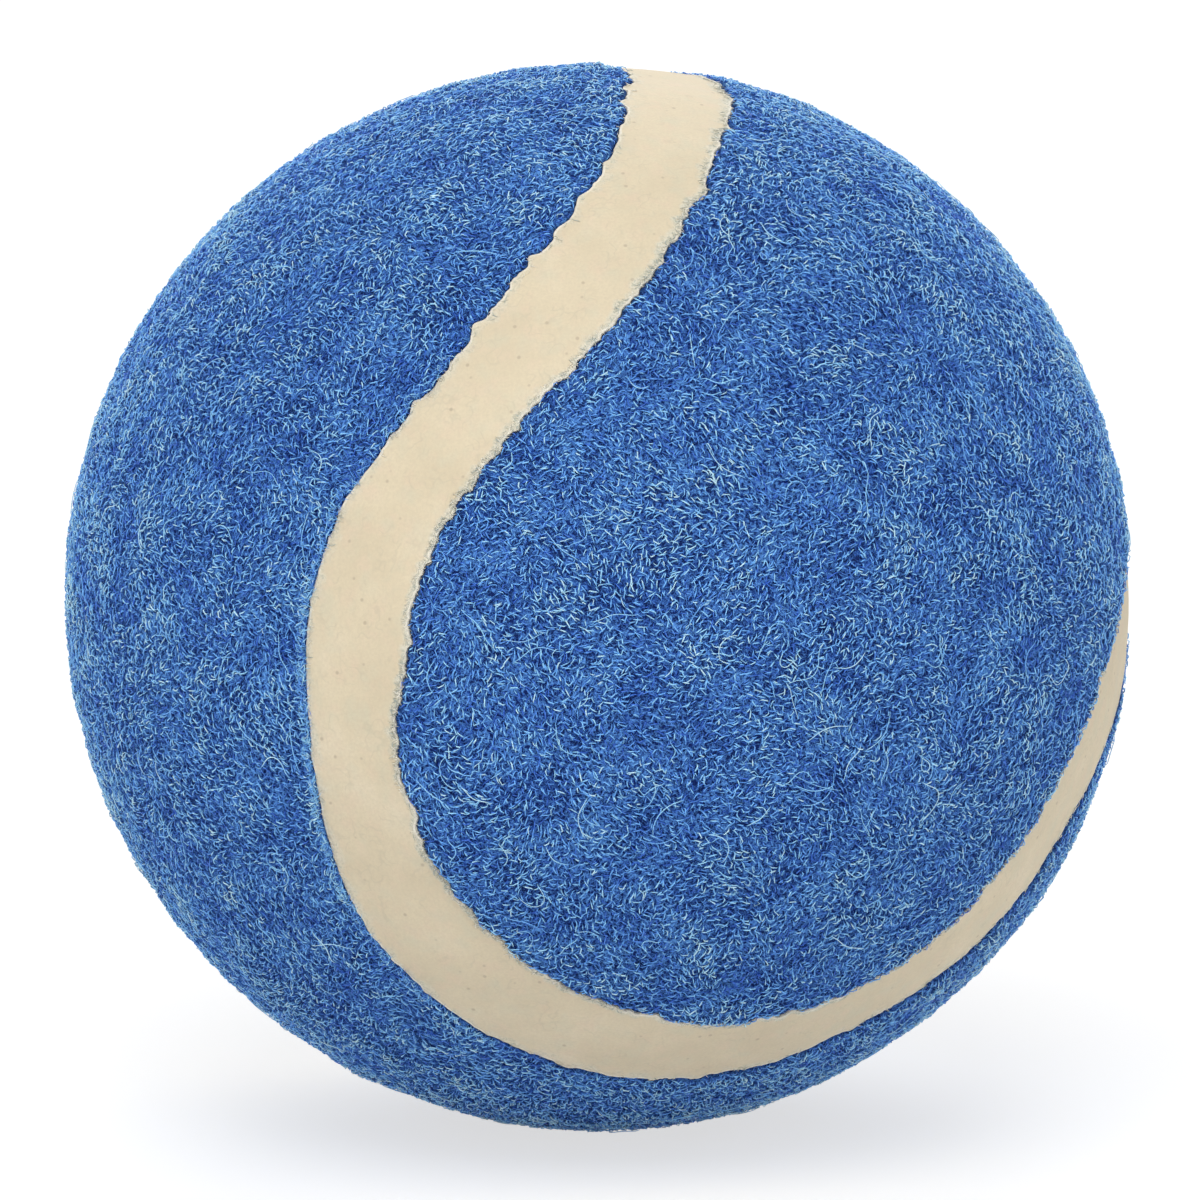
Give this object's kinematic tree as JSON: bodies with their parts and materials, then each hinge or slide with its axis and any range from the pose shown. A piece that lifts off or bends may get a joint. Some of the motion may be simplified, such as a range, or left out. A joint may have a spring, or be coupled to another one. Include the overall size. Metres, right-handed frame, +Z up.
{
  "type": "tennis ball",
  "caption": "Hollow tennis ball with a blue felt cover in two interlocking panels, joined by a wide, pale rubber seam band that winds round the ball in one closed loop.",
  "frame": {"origin": "centre of the ball", "axes": "+Z up, square to the plane where the two core halves meet; +Y away from the viewer of the picture, +X to the right"},
  "size_m": [0.0658, 0.066, 0.066],
  "materials": {
    "core_rubber": "matt moulded black rubber, buffed outside",
    "rubber_cement": "cured natural rubber cement, smooth and slightly tacky",
    "backing_rubber": "thin rubber coat bonded to the back of the felt",
    "blue_felt": "raised wool and nylon nap, short curled fibres, matt with fine glints",
    "cream_rubber": "smooth matt vulcanised rubber with fine pits"
  },
  "bodies": {
    "root": {"core_half_lower": "core_rubber", "core_half_upper": "core_rubber", "core_joint_ring": "rubber_cement", "cover_cement": "rubber_cement", "backing_left": "backing_rubber", "backing_right": "backing_rubber", "felt_panel_left": "blue_felt", "felt_panel_right": "blue_felt", "seam_band": "cream_rubber"}
  },
  "joints": []
}
